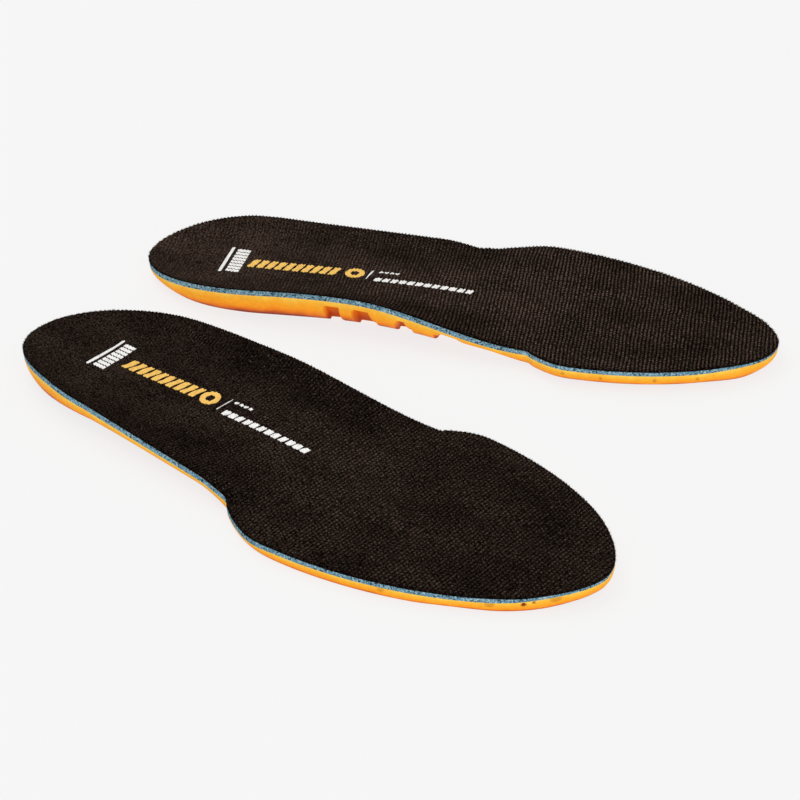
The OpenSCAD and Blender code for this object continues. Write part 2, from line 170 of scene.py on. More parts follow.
def toe_end(x, height):
    return lerp(height, TOE_RIM, step(x, LENGTH - 22, 22))


def rim_medial_z(x):
    height = lerp(lerp(RIM_BACK, RIM_ARCH, rise(x, 0, ARCH_X)), FORE_MEDIAL, step(x, ARCH_X, 75))
    return toe_end(x, height)


def rim_lateral_z(x):
    cup = lerp(RIM_BACK, RIM_LATERAL, rise(x, 0, LATERAL_PEAK_X))
    falling = cup - LATERAL_FALL * np.maximum(0, x - LATERAL_PEAK_X)
    height = toe_end(x, lerp(falling, FORE_LATERAL, step(x, 128, 27)))
    return height - NOTCH_DIP * step(x, LATERAL_NOTCH, 12) * (1 - step(x, LATERAL_NOTCH + 18, 20))


def top_z(x, t):
    floor = lerp(lerp(HEEL_FLOOR, ARCH_FLOOR, step(x, 35, 95)), FORE_FLOOR, step(x, 130, 55))
    tilt = lerp(lerp(0, ARCH_TILT, step(x, 40, 70)), FORE_TILT, step(x, 110, 65))
    tilt = tilt * clamp01((LENGTH - x) / TOE_REACH)
    rim = lerp(rim_lateral_z(x), rim_medial_z(x), ease((t + 1) / 2))
    return lerp(floor + tilt * t, rim, closeness(x, t) ** 4)


def foam_top_z(x, t):
    return top_z(x, t) - COVER_T


def base_top_z(x, t):
    fore = lerp(FOAM_FORE_T, FOAM_TIP_T, step(x, LENGTH - 27, 20))
    edge = lerp(FOAM_EDGE_T, fore, step(x, 150, 50))
    return foam_top_z(x, t) - lerp(FOAM_MID_T, edge, closeness(x, t) ** 2)


def toe_in(x, inset):
    return lerp(inset, TOE_INSET, step(x, LENGTH - 30, 30))


def under_points(x, t):
    """Plan place of the underside's point that belongs to (x, t): pulled in, and tucked at the tips."""
    m, l = medial_y(x), lateral_y(x)
    thin = np.minimum(1, (m - l) / 24)
    inset_m = lerp(lerp(HEEL_INSET, ARCH_INSET, step(x, 0, 118)), FORE_INSET_MEDIAL, step(x, 130, 56))
    inset_l = lerp(lerp(HEEL_INSET, WAIST_INSET, step(x, 20, 75)), FORE_INSET_LATERAL, step(x, 126, 20))
    low, high = l + thin * toe_in(x, inset_l), m - thin * toe_in(x, inset_m)
    tuck = HEEL_TUCK * np.maximum(0, 1 - x / 40) ** 2 - TOE_TUCK * np.maximum(0, 1 - (LENGTH - x) / 25) ** 2
    return x + tuck, lerp(low, high, (t + 1) / 2)


def pocket(spot, x, y):
    d = np.hypot((x - spot[0]) / spot[2], (y - spot[1]) / spot[3])
    return POCKET_DEPTH * ease((1.25 - d) / 0.25)


def arch_opening(x):
    return step(x, ARCH_START - ARCH_EDGE, 2 * ARCH_EDGE)


def strut_share(x, up, flank=0.0):
    """1 inside a strut and 0 outside, for a point of the arch's wall at a share of its height.
    flank leaves out that much of each strut's side towards the toe."""
    share = np.zeros(np.broadcast(x, up).shape)
    along = clamp01(up / STRUT_TOP_UP)
    for k in range(STRUT_COUNT):
        start = lerp(k * STRUT_FOOT_PITCH, k * STRUT_PITCH + k * k * STRUT_SPREAD, along) + STRUT_FIRST
        width = STRUT_W * lerp(1 + STRUT_FOOT_FLARE * k, 1 + STRUT_FLARE * math.sqrt(k), along)
        end = start + width - STRUT_EDGE - flank
        inside = step(x, start - STRUT_EDGE, 2 * STRUT_EDGE) * (1 - step(x, end, 2 * STRUT_EDGE))
        share = np.maximum(share, inside)
    return share


def arch_z(x, t):
    """Height of the arch's underside over the ground: none under a strut's foot."""
    height = (ARCH_RISE + INSTEP_RISE * step(x, 118, 30)) * arch_opening(x) * ease((ARCH_END - x) / 22)
    return height * ease((t - 0.3) / 0.6) * (1 - strut_share(x, 0) * step(t, 0.35, 0.1))


def under_z(x, t):
    ux, uy = under_points(x, t)
    return np.maximum(np.maximum(pocket(HEEL_POCKET, ux, uy), pocket(BALL_POCKET, ux, uy)), arch_z(x, t))


# ---------------------------------------------------------------------------------------------
# Placing: the CAD's own joints say where each insole lies and how it is turned
def flex_line():
    """Ends of the flex line in an insole's own plan: lateral, medial."""
    lateral_x, medial_x = FLEX_X - FLEX_SKEW, FLEX_X + FLEX_SKEW
    return (np.array([lateral_x, float(lateral_y(np.float64(lateral_x)))]),
            np.array([medial_x, float(medial_y(np.float64(medial_x)))]))


class Foot:
    """One insole: its name, how its knit looks, and where its own plan lies in the shared frame."""

    def __init__(self, name):
        self.name = name
        self.mirror = -1 if name == "left" else 1
        # Painted light: this insole's whole knit is painted lighter or darker
        self.brushed, self.rib_share = KNIT[name]
        joint = next(j for j in frame["joints"] if j["name"] == name + "_toe_flex")
        lateral, medial = flex_line()
        axis = (lateral - medial) * self.mirror * [1, self.mirror]
        turn = math.atan2(joint["axis"][1], joint["axis"][0]) - math.atan2(axis[1], axis[0])
        self.cos, self.sin = math.cos(turn), math.sin(turn)
        self.middle = (lateral + medial) / 2
        self.at = np.array(joint["pos_m"][:2])
        self.rear, self.forefoot = name + "_rear", name + "_forefoot"

    def world(self, points):
        """Points of the insole's own design, in millimetres, as points of the shared frame in metres."""
        x = (points[..., 0] - self.middle[0]) * MM
        y = (points[..., 1] - self.middle[1]) * MM * self.mirror
        place = (self.at[0] + x * self.cos - y * self.sin, self.at[1] + x * self.sin + y * self.cos)
        return np.stack([*place, points[..., 2] * MM], axis=-1)

    def bend(self, piece):
        """Bakes a layer's placing into its points. The ends of a band about the flex line are worked out, but
        nothing uses them.
        """
        lateral, medial = flex_line()
        along = (medial - lateral) / np.linalg.norm(medial - lateral)
        ahead = np.array([along[1], -along[0]]) * BEND_REACH
        ends = [self.world(np.array([*(self.middle + ahead * way), 0.0])) for way in (-1, 1)]
        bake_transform(piece)


# ---------------------------------------------------------------------------------------------
# Mesh building
def value_noise(points, cell, seed=0):
    """Smooth noise from -1 to 1 with features about cell across, the same on every run."""
    q = points / cell
    base = np.floor(q).astype(np.int64)
    f = q - base
    f = f * f * (3 - 2 * f)
    total = np.zeros(points.shape[:-1])
    for corner in range(8):
        offset = np.array([corner & 1, corner >> 1 & 1, corner >> 2 & 1])
        n = base + offset
        # An integer hash of the grid corner
        h = n[..., 0] * 374761393 + n[..., 1] * 668265263 + n[..., 2] * 2147483647 + seed * 974634777
        h = (h ^ (h >> 13)) * 1274126177 & 0x7FFFFFFF
        h = (h ^ (h >> 16)) & 0xFFFF
        weight = np.prod(np.where(offset, f, 1 - f), axis=-1)
        total += weight * (h / 32767.5 - 1)
    return total


def outline_rows(spacing, finer=None):
    """Distances from the heel of rows that are evenly spaced along the outline, tips included.
    finer = (start, end, factor) sets them closer together in a stretch."""
    x = LENGTH * (1 - np.cos(np.linspace(0, np.pi, 40001))) / 2
    dx = np.diff(x)
    arc = np.maximum(np.hypot(dx, np.diff(medial_y(x))), np.hypot(dx, np.diff(lateral_y(x))))
    if finer:
        arc = arc * np.where((x[1:] > finer[0]) & (x[1:] < finer[1]), finer[2], 1)
    length = np.concatenate([[0], np.cumsum(arc)])
    return np.interp(np.linspace(0, length[-1], math.ceil(length[-1] / spacing) + 1), length, x)


def plan_grid(rows, columns):
    """Two arrays: x and the place across, -1 to 1, of a grid of points."""
    return np.meshgrid(rows, columns, indexing="ij")


def edge_columns(count, fine):
    """Places across: count even steps, and fine ones again next to each edge."""
    inner = np.linspace(-1, 1, count + 1)[1:-1] * (1 - 2 * fine[-1])
    near = np.array(fine)
    return np.concatenate([[-1], near - 1, inner, 1 - near[::-1], [1]])


def loop_of(grid):
    """The outline of a grid: heel tip, medial side, toe tip and lateral side back."""
    return np.concatenate([grid[:1, 0], grid[1:-1, -1], grid[-1:, 0], grid[-2:0:-1, 0]])


def grid_ids(start, rows, columns):
    """Vertex numbers of a grid whose first and last rows are single points, and the next number."""
    ids = np.empty((rows, columns), int)
    ids[0] = start
    ids[1:-1] = start + 1 + np.arange((rows - 2) * columns).reshape(rows - 2, columns)
    ids[-1] = start + 1 + (rows - 2) * columns
    return ids, ids[-1, 0] + 1


def grid_faces(ids, up):
    quads = np.stack([ids[1:-2, :-1], ids[2:-1, :-1], ids[2:-1, 1:], ids[1:-2, 1:]], -1).reshape(-1, 4)
    first = np.stack([ids[0, :-1], ids[1, :-1], ids[1, 1:]], -1)
    last = np.stack([ids[-2, :-1], ids[-1, :-1], ids[-2, 1:]], -1)
    parts = [quads, first, last]
    return [f if up else f[:, ::-1] for f in parts]


def flat_points(grid):
    """A grid's values in the order of grid_ids."""
    return np.concatenate([grid[:1, 0], grid[1:-1].reshape(-1, *grid.shape[2:]), grid[-1:, 0]])


def add_mesh(name, points, faces, flip, attributes, smooth_angle=180):
    """A mesh object from points in metres and arrays of faces, with named values at its points."""
    mesh = bpy.data.meshes.new(name)
    listed = [f for part in faces for f in (part[:, ::-1] if flip else part).tolist()]
    mesh.from_pydata(points.tolist(), [], listed)
    mesh.update()
    for key, values in attributes.items():
        kind = "FLOAT_VECTOR" if values.ndim == 2 else "FLOAT"
        layer = mesh.attributes.new(key, kind, "POINT")
        field = "vector" if values.ndim == 2 else "value"
        layer.data.foreach_set(field, values.astype(np.float32).ravel())
    mesh.shade_smooth()
    if smooth_angle < 180:
        mesh.set_sharp_from_angle(angle=math.radians(smooth_angle))
    obj = bpy.data.objects.new(name, mesh)
    bpy.context.scene.collection.objects.link(obj)
    return obj


def slab(foot, name, top, rings, bottom, extra=None, smooth_angle=180):
    """A closed layer: a grid on top, rings down its wall and a grid below, in the insole's own plan.
    extra holds more named values for the points, in the same order: top, rings, bottom."""
    top_ids, start = grid_ids(0, *top.shape[:2])
    points, faces = [flat_points(top)], grid_faces(top_ids, True)
    upper = loop_of(top_ids)
    for ring in rings:
        lower = start + np.arange(len(ring))
        start += len(ring)
        points.append(ring)
        faces.append(wall_quads(upper, lower))
        upper = lower
    bottom_ids, start = grid_ids(start, *bottom.shape[:2])
    points.append(flat_points(bottom))
    faces += grid_faces(bottom_ids, False)
    faces.append(wall_quads(upper, loop_of(bottom_ids)))
    points = np.concatenate(points)
    values = {"local": points}
    if extra:
        values.update(extra)
    return add_mesh(name, foot.world(points), faces, foot.mirror < 0, values, smooth_angle)


def wall_quads(upper, lower):
    return np.stack([upper, np.roll(upper, -1), np.roll(lower, -1), lower], -1)


def joined(parts):
    """One array of points, and one list of faces, from parts that each number their points from 0."""
    points, faces, start = [], [], 0
    for part_points, part_faces in parts:
        points.append(part_points)
        faces += [some + start for some in part_faces]
        start += len(part_points)
    return np.concatenate(points), faces


def outward(loop):
    """Unit directions out of an outline, in plan, at each of its points."""
    ahead = np.roll(loop, -1, 0)[:, :2] - np.roll(loop, 1, 0)[:, :2]
    length = np.maximum(np.linalg.norm(ahead, axis=1, keepdims=True), 1e-9)
    ahead = ahead / length
    return np.stack([-ahead[:, 1], ahead[:, 0], np.zeros(len(ahead))], -1)


# ---------------------------------------------------------------------------------------------
# The knitted cover: ribs across the foot, and a cut edge that rolls down
# Its edge has rings at these shares of the way down, each with how far it bulges
COVER_RINGS = ((0.25, 0.16), (0.6, 0.2), (0.9, 0.06))
# How far in from its edge the cut darkens it
COVER_CUT = 0.8
# Painted light: where the cover is painted paler, on the rise to the ball: place and length along, place and
# width across
PALE_X, PALE_LENGTH, PALE_T, PALE_WIDTH, PALE_GAIN = 158, 30, 0.05, 0.45, 0.5
# How strongly painted shade darkens the cup's walls
WALL_SHADE = 0.35
# How clearly the ribs show at the heel, and where the nap over them thins out
HEEL_RIBS, RIBS_START, RIBS_LENGTH = 0.3, 30, 150
# The nap: numbers of fibres, their radius, length and how deep they are rooted
NAP_COUNT, EDGE_NAP_COUNT, NAP_R = 15000, 6000, 0.07
NAP_SHORT, NAP_LONG, NAP_ROOT, NAP_RISE = 0.5, 1.1, 0.2, 0.45


def edge_distance(x, t):
    """About how far inside the outline a point lies."""
    half = (medial_y(x) - lateral_y(x)) / 2
    by_side = (1 - np.abs(t)) * half
    by_tip = np.minimum(x, LENGTH - x) * (1 - t * t) + 1e-9
    return by_side * by_tip / np.sqrt(by_side ** 2 + by_tip ** 2 + 1e-12)


def rib_phase(x, y):
    """Which rib a point is on: the ribs bow a little, as cloth laid by hand does."""
    bow = 0.9 * np.sin(y / 31 + 0.6) + 0.5 * np.sin(x / 47 + y / 23)
    points = np.stack([x, y, np.zeros_like(x)], -1)
    wobble = 0.22 * value_noise(points, 4.5, 11) + 0.25 * value_noise(points, 17.0, 12)
    return (x + RIB_SKEW * y + bow + wobble) / RIB_PITCH


def knit_height(x, y):
    phase = rib_phase(x, y)
    crest = 0.5 + 0.5 * np.cos(2 * np.pi * phase)
    return RIB_HEIGHT * (crest ** 0.7 - 0.5)


def cover_top(x, t):
    y = lerp(lateral_y(x), medial_y(x), (t + 1) / 2)
    inside = edge_distance(x, t)
    drop = EDGE_DROP * (1 - clamp01(inside / EDGE_ROLL)) ** 2
    points = np.stack([x, y, top_z(x, t)], -1)
    tufts = 0.05 * value_noise(points, 0.7, 1) + 0.04 * value_noise(points, 2.3, 2)
    points[..., 2] += knit_height(x, y) + tufts - drop
    return points


def lit(x, t):
    """Painted light and shade on the cover: a painted pool of light where it rises to the ball, and painted
    shade on the cup's walls.
    """
    pale = np.exp(-((x - PALE_X) / PALE_LENGTH) ** 2 - ((t - PALE_T) / PALE_WIDTH) ** 2)
    dark = step(np.abs(t), 0.35, 0.4) * step(x, 45, 30) * (1 - step(x, 140, 30))
    return 1 + PALE_GAIN * pale - WALL_SHADE * dark


def ribbed(x):
    """How clearly the ribs show through the nap, which is thickest at the heel."""
    return lerp(HEEL_RIBS, 1, step(x, RIBS_START, RIBS_LENGTH))


def cover(foot):
    rows = outline_rows(0.33)
    x, t = plan_grid(rows, edge_columns(78, (0.004, 0.012, 0.024)))
    top = cover_top(x, t)
    cut = 1 - clamp01(edge_distance(x, t) / COVER_CUT)
    bx, bt = plan_grid(rows, np.linspace(-1, 1, 7))
    bottom = np.stack([bx, lerp(lateral_y(bx), medial_y(bx), (bt + 1) / 2), foam_top_z(bx, bt)], -1)
    upper, lower = loop_of(top), loop_of(bottom)
    out = outward(upper)
    rings = []
    for share, bulge in COVER_RINGS:
        ring = lerp(upper, lower, share)
        ring = ring + out * (bulge + 0.1 * value_noise(ring, 0.6, 3)[:, None])
        rings.append(ring)
    around, below = np.ones(len(out) * len(rings)), np.ones(len(flat_points(bottom)))
    phase, low_phase = flat_points(rib_phase(x, top[..., 1])), flat_points(rib_phase(bx, bottom[..., 1]))
    ring_phase = [rib_phase(ring[:, 0], ring[:, 1]) for ring in rings]
    extra = {
        "cut": np.concatenate([flat_points(cut), around, below]),
        "phase": np.concatenate([phase, *ring_phase, low_phase]),
        # Painted light and shade on the top: each insole's painted lightness, times the pool of light and the
        # wall shade
        "lit": np.concatenate([foot.brushed * flat_points(lit(x, t)), around, below]),
        "ribbed": np.concatenate([foot.rib_share * flat_points(ribbed(x)), around, below]),
    }
    piece = slab(foot, foot.name + "_cover", top, rings, bottom, extra)
    piece.data.materials.append(MATERIALS["cover"])
    foot.bend(piece)
    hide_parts(foot.name + "_cover_heel", foot.name + "_cover_forefoot")


def nap(foot):
    """Short fibres brushed up from the knit: thin closed spikes, rooted in the cover and thicker
    along its cut edge."""
    edge_x = outline_rows(0.2)[2:-2]
    x = np.concatenate([rng.uniform(2, LENGTH - 2, NAP_COUNT), rng.choice(edge_x, EDGE_NAP_COUNT)])
    edge = rng.choice((-1, 1), EDGE_NAP_COUNT) * rng.uniform(0.975, 1, EDGE_NAP_COUNT)
    t = np.concatenate([rng.uniform(-0.98, 0.98, NAP_COUNT), edge])
    root = cover_top(x, t)
    reach = 0.3
    medial_slope = medial_y(x + reach) - medial_y(x - reach)
    lateral_slope = lateral_y(x + reach) - lateral_y(x - reach)
    side_y = np.where(t > 0, medial_slope, lateral_slope)
    out = np.stack([-side_y, np.full(len(x), 2 * reach)], -1) * np.sign(t)[:, None]
    out = out / np.linalg.norm(out, axis=1, keepdims=True)
    turn = rng.uniform(0, 2 * np.pi, len(x))
    lie = np.stack([np.cos(turn), np.sin(turn)], -1)
    at_edge = np.arange(len(x)) >= NAP_COUNT
    flat = lie * 0.8 + out * at_edge[:, None] * 1.1
    lift = np.where(at_edge, rng.uniform(-0.3, 0.6, len(x)), NAP_RISE)
    ahead = np.concatenate([flat, lift[:, None]], 1)
    ahead = ahead / np.linalg.norm(ahead, axis=1, keepdims=True)
    length = rng.uniform(NAP_SHORT, NAP_LONG, len(x)) * np.where(at_edge, 0.9, 1)
    across_a = np.cross(ahead, [0.0, 0.0, 1.0])
    across_a = across_a / np.linalg.norm(across_a, axis=1, keepdims=True)
    across_b = np.cross(ahead, across_a)
    root = root - ahead * NAP_ROOT
    corners = [root + NAP_R * (math.cos(a) * across_a + math.sin(a) * across_b) for a in (0, 2.1, 4.2)]
    points = np.stack([*corners, root + ahead * (length + NAP_ROOT)[:, None]], 1).reshape(-1, 3)
    first = 4 * np.arange(len(x))[:, None]
    faces = [np.concatenate([first + f for f in ([0, 1, 3], [1, 2, 3], [2, 0, 3], [2, 1, 0])])]
    piece = add_mesh(foot.name + "_cover_nap", foot.world(points), faces, foot.mirror < 0, {"local": points})
    piece.data.materials.append(MATERIALS["nap"])
    foot.bend(piece)


# ---------------------------------------------------------------------------------------------
# The foam: only its edge shows, with open cells
FOAM_RINGS, FOAM_BULGE = 9, 0.12


def foam(foot):
    rows = outline_rows(0.45)
    x, t = plan_grid(rows, np.linspace(-1, 1, 9))
    y = lerp(lateral_y(x), medial_y(x), (t + 1) / 2)
    top = np.stack([x, y, foam_top_z(x, t)], -1)
    bottom = np.stack([x, y, base_top_z(x, t)], -1)
    upper, lower = loop_of(top), loop_of(bottom)
    out = outward(upper)
    rings = []
    for share in np.linspace(0, 1, FOAM_RINGS):
        ring = lerp(upper, lower, share)
        cells = value_noise(ring, 0.55, 5)
        pores = 0.16 * np.minimum(0, cells + 0.15) + 0.05 * value_noise(ring, 1.6, 6)
        rings.append(ring + out * (FOAM_BULGE * math.sin(math.pi * share) + pores)[:, None])
    piece = slab(foot, foot.name + "_foam", top, rings, bottom)
    piece.data.materials.append(MATERIALS["foam"])
    foot.bend(piece)
    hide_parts(foot.name + "_foam_heel", foot.name + "_foam_forefoot")


# ---------------------------------------------------------------------------------------------
# The moulded base: heel wall, arch with its struts, forefoot edge, and cones underneath

# The wall curves in on its way down, bulges at the forefoot, and is cut back between the struts
WALL_RINGS, WALL_CURVE, WALL_BULGE = 30, 2.25, 0.45
RECESS_TOP, RECESS_IN, STRUT_FLANK = 0.17, 0.38, 1.0
# Painted shade: the wall's colour deepens with the share of the way down; the underside has one tone
UNDER_TONE = 0.4
# Small moulding marks of the forefoot's edge: distance from the heel, side, share of the way down
# the wall, radius and how dark it is
VENTS = (
    (200, 1, 0.25, 0.8, 0.35),
    (216, 1, 0.3, 0.8, 0.35),
    (238, 1, 0.3, 0.8, 0.4),
    (255, 1, 0.3, 0.8, 0.35),
    (267.8, -1, 0.2, 0.85, 1.0),
    (270.6, -1, 0.12, 0.5, 0.9),
    (258, -1, 0.12, 1.7, 0.35),
    (276, -1, 0.05, 1.7, 0.35),
    (222, -1, 0.15, 1.5, 0.3),
)
VENT_DEPTH = 0.35
CONE_SIDES = 24


def wall_ring(x, t, down):
    """The base's outline at a share of the way down its wall, and how far each point of it is
    shaded by the arch's hollow."""
    y = lerp(lateral_y(x), medial_y(x), (t + 1) / 2)
    ux, uy = under_points(x, t)
    medial = t > 0.99
    recess = arch_opening(x) * ease((RECESS_END - x) / 12) * medial
    behind = recess * (1 - strut_share(x, 1 - down))
    shaded = recess * (1 - strut_share(x, 1 - down, STRUT_FLANK))
    cut_back = behind * RECESS_IN * step(down, RECESS_TOP, 0.05) * (1 - down ** 3.5)
    share = down ** WALL_CURVE + cut_back
    z = lerp(base_top_z(x, t), under_z(x, t), down)
    return np.stack([lerp(x, ux, share), lerp(y, uy, share), z], -1), shaded


def vent_marks(ring, down):
    """How deep each point of a ring is in one of the small moulding marks of the forefoot's edge."""
    depth = np.zeros(len(ring))
    for at, way, at_down, radius, dark in VENTS:
        far = np.hypot(ring[:, 0] - at, (down - at_down) * 5)
        depth = np.maximum(depth, dark * (1 - step(far, radius * 0.6, radius * 0.5)) * (ring[:, 1] * way > 0))
    return depth


def cone_mesh(at):
    """A blunt cone of the underside: points, and faces with numbers from 0."""
    around = np.linspace(0, 2 * np.pi, CONE_SIDES, endpoint=False)
    rings = ((CONE_ROOT_R, POCKET_DEPTH + 0.4), (CONE_FOOT_R + 0.25, 0.25), (CONE_FOOT_R - 0.1, 0.0))
    cos, sin = np.cos(around), np.sin(around)
    circles = [np.stack([at[0] + r * cos, at[1] + r * sin, np.full(CONE_SIDES, z)], -1) for r, z in rings]
    points = np.concatenate(circles)
    ids = [np.arange(CONE_SIDES) + CONE_SIDES * k for k in range(len(rings))]
    walls = [np.stack([a, b, np.roll(b, -1), np.roll(a, -1)], -1) for a, b in zip(ids, ids[1:])]
    return points, walls + [ids[0][None, :], ids[2][None, ::-1]]


def cone_places(spot):
    """Where the cones of a pocket stand: a triangular grid, kept clear of the pocket's edge."""
    row_step = math.sqrt(3) / 2
    reach_x, reach_y = spot[2] - CONE_MARGIN, spot[3] - CONE_MARGIN
    rows, columns = math.ceil(spot[3] / (CONE_PITCH * row_step)), math.ceil(spot[2] / CONE_PITCH)
    for r in range(-rows, rows + 1):
        for c in range(-columns, columns + 1):
            at = (spot[0] + (c + (r % 2) * 0.5) * CONE_PITCH, spot[1] + r * CONE_PITCH * row_step)
            if math.hypot((at[0] - spot[0]) / reach_x, (at[1] - spot[1]) / reach_y) < 1:
                yield at


def base(foot):
    rows = outline_rows(0.6, finer=(89, 162, 1.8))
    x, t = plan_grid(rows, np.linspace(-1, 1, 7))
    top = np.stack([x, lerp(lateral_y(x), medial_y(x), (t + 1) / 2), base_top_z(x, t)], -1)
    bx, bt = plan_grid(rows, np.sin(np.pi / 2 * np.linspace(-1, 1, 53)))
    ux, uy = under_points(bx, bt)
    bottom = np.stack([ux, uy, under_z(bx, bt)], -1)
    loop_x, loop_t = loop_of(x), loop_of(t)
    out = outward(loop_of(top))
    under_x, under_y = under_points(loop_x, loop_t)
    inset = np.hypot(under_x - loop_x, under_y - loop_of(top)[:, 1])
    # Painted shade deepens faster where the wall turns further in under the insole, and more on the lateral
    # side
    turned_in = 0.6 + 0.4 * clamp01(inset / 8) + 0.25 * clamp01(inset / 4) * (loop_t < 0)
    rings, depth, hollow, marks = [], [np.zeros(len(flat_points(top)))], [], []
    for k in range(1, WALL_RINGS):
        down = k / WALL_RINGS
        ring, shaded = wall_ring(loop_x, loop_t, down)
        dent = vent_marks(ring, down)
        bulge = WALL_BULGE * math.sin(math.pi * down) * step(loop_x, 190, 60)
        ring = ring + out * (bulge + 0.03 * value_noise(ring, 3.0, 8) - VENT_DEPTH * dent)[:, None]
        rings.append(ring)
        depth.append(down * turned_in)
        hollow.append(shaded)
        marks.append(dent)
    none_top, none_bottom = np.zeros(len(depth[0])), np.zeros(len(flat_points(bottom)))
    extra = {
        "down": np.concatenate(depth + [none_bottom + UNDER_TONE]),
        "hollow": np.concatenate([none_top, *hollow, none_bottom]),
        "vent_dark": np.concatenate([none_top, *marks, none_bottom]),
    }
    piece = slab(foot, foot.name + "_base", top, rings, bottom, extra, smooth_angle=60)
    piece.data.materials.append(MATERIALS["base"])
    foot.bend(piece)
    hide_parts(foot.name + "_base_heel", foot.name + "_base_forefoot")


def cones(foot, spot, name, body):
    points, faces = joined(cone_mesh(at) for at in cone_places(spot))
    grouped = [np.concatenate([f for f in faces if f.shape[1] == n]) for n in (4, CONE_SIDES)]
    values = {"local": points, "down": np.full(len(points), UNDER_TONE), "hollow": np.zeros(len(points)),
              "vent_dark": np.zeros(len(points))}
    piece = add_mesh(name, foot.world(points), grouped, foot.mirror < 0, values, 40)
    piece.data.materials.append(MATERIALS["base"])
    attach(piece, body)


# ---------------------------------------------------------------------------------------------
# The printed marks: ink that follows the ribs of the cover
INK_LIFT, INK_THICK = 0.1, 0.16


def ink_height(x, y):
    t = across(x, y)
    return top_z(x, t) + 0.9 * knit_height(x, y) + 0.1 * RIB_HEIGHT + INK_LIFT


def ink_grid(x, y):
    """Points and faces of one patch of ink over a grid of plan points."""
    n, m = x.shape
    z = ink_height(x, y)
    upper = np.stack([x, y, z], -1).reshape(-1, 3)
    lower = np.stack([x, y, z - INK_THICK - INK_LIFT], -1).reshape(-1, 3)
    ids = np.arange(n * m).reshape(n, m)
    quads = np.stack([ids[:-1, :-1], ids[1:, :-1], ids[1:, 1:], ids[:-1, 1:]], -1).reshape(-1, 4)
    rim = np.concatenate([ids[0, :], ids[1:, -1], ids[-1, -2::-1], ids[-2:0:-1, 0]])
    return np.concatenate([upper, lower]), [quads, quads[:, ::-1] + n * m, wall_quads(rim, rim + n * m)]


def bar(corner, size, slant=0.0, round_r=0.5):
    """A bar of ink with rounded corners, given as the CAD's patch is."""
    nx, ny = max(4, round(size[0] / 0.27)), max(4, round(size[1] / 0.4))
    v = (1 - np.cos(np.linspace(0, np.pi, ny + 1))) / 2
    r = min(round_r, size[0] / 2.2, size[1] / 2.2)
    end = np.minimum(v, 1 - v) * size[1]
    pull = r - np.sqrt(np.maximum(0, r * r - np.maximum(0, r - end) ** 2))
    u = np.linspace(0, 1, nx + 1)[:, None]
    x = corner[0] + lerp(pull[None, :], size[0] - pull[None, :], u) + slant * v[None, :]
    y = np.broadcast_to(corner[1] + v[None, :] * size[1], x.shape)
    return ink_grid(x, y)


def ring_of_ink(at, inner, outer):
    angle = np.linspace(0, 2 * np.pi, 73)[:-1]
    radius = np.linspace(inner, outer, 9)
    a, r = np.meshgrid(np.concatenate([angle, angle[:1]]), radius, indexing="ij")
    points, faces = ink_grid(at[0] + r * np.cos(a), at[1] + r * np.sin(a))
    return points, [f[:, ::-1] for f in faces]


def mark(foot, part, ink, shapes):
    points, faces = joined(shapes)
    name = f"{foot.name}_{part}"
    piece = add_mesh(name + "_ink", foot.world(points), faces, foot.mirror < 0, {"local": points}, 60)
    piece.data.materials.append(MATERIALS[ink])
    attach(piece, foot.rear)
    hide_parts(name)


def row(count, x, pitch, y, size, slant):
    """Equal bars in a row along the insole, the first with its corner at (x, y)."""
    return [bar((x + k * pitch, y), size, slant) for k in range(count)]


def marks(foot):
    way = foot.mirror
    middle = way * MARK_LINE
    low_end = way * HEEL_MARK_SHIFT - HEEL_MARK_HALF
    blocks = [bar((BLOCK_X, low_end + k * BLOCK_PITCH), BLOCK, round_r=0.3) for k in range(BLOCK_COUNT)]
    mark(foot, "heel_mark", "white_print", [bar((HEEL_BAR_X, low_end - 1), HEEL_BAR), *blocks])
    slanted = row(NAME_COUNT, NAME_X, NAME_PITCH, middle - NAME_BAR[1] / 2, NAME_BAR, way * NAME_SLANT)
    mark(foot, "name_mark", "yellow_print", slanted)
    mark(foot, "round_mark", "yellow_print", [ring_of_ink((RING_X, middle), RING_INNER, RING_OUTER)])
    line = bar((DIVIDER_X, middle - DIVIDER[1] / 2), DIVIDER, way * DIVIDER_SLANT)
    mark(foot, "divider_mark", "white_print", [line])
    small_y = way * (MARK_LINE + SMALL_OFF) - SMALL[1] / 2
    large_y = way * (MARK_LINE + LARGE_OFF) - LARGE[1] / 2
    small = row(SMALL_COUNT, WORDS_X, SMALL_PITCH, small_y, SMALL, way * SMALL_SLANT)
    large = row(LARGE_COUNT, WORDS_X, LARGE_PITCH, large_y, LARGE, way * LARGE_SLANT)
    mark(foot, "arch_mark", "white_print", small + large)


# ---------------------------------------------------------------------------------------------
# Materials
def srgb(r, g, b):
    """A display colour, 0 to 255, as the linear colour that nodes use."""
    def one(c):
        c = c / 255
        return c / 12.92 if c <= 0.04045 else ((c + 0.055) / 1.055) ** 2.4
    return (one(r), one(g), one(b), 1)


